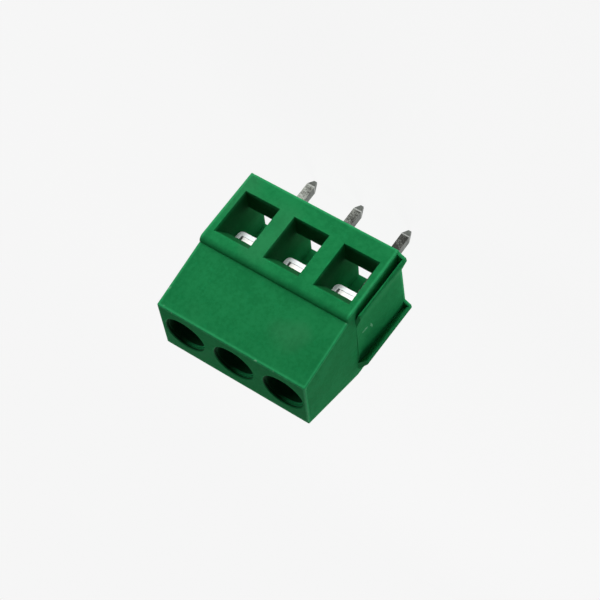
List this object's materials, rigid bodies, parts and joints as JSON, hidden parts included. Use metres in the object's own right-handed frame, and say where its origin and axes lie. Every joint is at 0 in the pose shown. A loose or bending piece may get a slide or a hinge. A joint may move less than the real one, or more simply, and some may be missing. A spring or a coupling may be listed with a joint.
{
  "type": "pcb screw terminal",
  "caption": "Green terminal block for a circuit board: square wire entries in front, screws from above that raise clamping cages, solder pins below, dovetail rails on one end.",
  "frame": {"origin": "middle of the row of solder pins, on the board's surface", "axes": "+X along the row towards the grooved end, -Y the front with the wire entries, +Z away from the board"},
  "size_m": [0.0164, 0.0114, 0.02],
  "materials": {
    "housing": "satin moulded",
    "contact": "tin plated",
    "cage": "nickel plated",
    "screw": "zinc plated"
  },
  "bodies": {
    "block": {"housing": "housing", "contact_1": "contact", "contact_2": "contact", "contact_3": "contact"},
    "screw_1": {"clamp_screw_1": "screw"},
    "cage_1": {"clamp_cage_1": "cage"},
    "screw_2": {"clamp_screw_2": "screw"},
    "cage_2": {"clamp_cage_2": "cage"},
    "screw_3": {"clamp_screw_3": "screw"},
    "cage_3": {"clamp_cage_3": "cage"}
  },
  "joints": [
    {"name": "screw_turn_1", "type": "hinge", "parent": "block", "child": "screw_1", "pos_m": [-0.00508, -0.00168, 0], "axis": [0, 0, 1], "range_deg": [0, 1620]},
    {"name": "cage_slide_1", "type": "slide", "parent": "block", "child": "cage_1", "axis": [0, 0, -1], "range_m": [0, 0.00202]},
    {"name": "screw_turn_2", "type": "hinge", "parent": "block", "child": "screw_2", "pos_m": [0, -0.00168, 0], "axis": [0, 0, 1], "range_deg": [0, 1620]},
    {"name": "cage_slide_2", "type": "slide", "parent": "block", "child": "cage_2", "axis": [0, 0, -1], "range_m": [0, 0.00202]},
    {"name": "screw_turn_3", "type": "hinge", "parent": "block", "child": "screw_3", "pos_m": [0.00508, -0.00168, 0], "axis": [0, 0, 1], "range_deg": [0, 1620]},
    {"name": "cage_slide_3", "type": "slide", "parent": "block", "child": "cage_3", "axis": [0, 0, -1], "range_m": [0, 0.00202]}
  ],
  "couplings": [
    {"joint": "screw_turn_1", "follows": "cage_slide_1", "rad_per_m": 13963},
    {"joint": "screw_turn_2", "follows": "cage_slide_2", "rad_per_m": 13963},
    {"joint": "screw_turn_3", "follows": "cage_slide_3", "rad_per_m": 13963}
  ]
}
